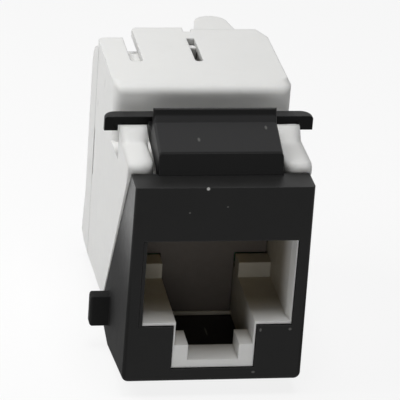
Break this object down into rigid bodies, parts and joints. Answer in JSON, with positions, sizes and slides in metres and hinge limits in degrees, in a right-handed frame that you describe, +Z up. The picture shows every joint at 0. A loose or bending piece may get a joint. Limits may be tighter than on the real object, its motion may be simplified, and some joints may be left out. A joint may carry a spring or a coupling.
{
  "type": "keystone jack",
  "caption": "Snap-in modular socket: raked black bezel and sprung T-bar lever on a white jack body with plug port, spring contacts and a slide-off wire cap.",
  "frame": {"origin": "centre of the overall footprint, on the plane of the lowest point, the fixed lug under the front housing", "axes": "+X to the right seen from the plug side, +Y from the plug port to the wire cap, +Z up from the fixed lug to the lever"},
  "size_m": [0.0178, 0.028, 0.0225],
  "materials": {
    "black_plastic": "fine satin moulding",
    "white_plastic": "smooth satin moulding",
    "carrier_plastic": "dull moulding",
    "block_plastic": "smooth satin moulding",
    "board_laminate": "green solder mask",
    "contact_gold": "gold flash over phosphor bronze",
    "blade_tin": "tin plate over phosphor bronze"
  },
  "bodies": {
    "jack": {"front_housing": "black_plastic", "jack_body": "white_plastic", "contact_carrier": "carrier_plastic", "circuit_board": "board_laminate", "terminal_block": "block_plastic", "contact_1": "contact_gold", "contact_2": "contact_gold", "contact_3": "contact_gold", "contact_4": "contact_gold", "contact_5": "contact_gold", "contact_6": "contact_gold", "contact_7": "contact_gold", "contact_8": "contact_gold", "idc_blade_1": "blade_tin", "idc_blade_2": "blade_tin", "idc_blade_3": "blade_tin", "idc_blade_4": "blade_tin", "idc_blade_5": "blade_tin", "idc_blade_6": "blade_tin", "idc_blade_7": "blade_tin", "idc_blade_8": "blade_tin"},
    "lever": {"latch_lever": "black_plastic"},
    "cap": {"wire_cap": "white_plastic"}
  },
  "joints": [
    {"name": "lever_press", "type": "hinge", "parent": "jack", "child": "lever", "pos_m": [0, -0.01098, 0.01855], "axis": [-1, 0, 0], "range_deg": [0, 16], "stiffness_Nm_per_rad": 0.05},
    {"name": "cap_slide", "type": "slide", "parent": "jack", "child": "cap", "axis": [0, 1, 0], "range_m": [0, 0.014]}
  ]
}
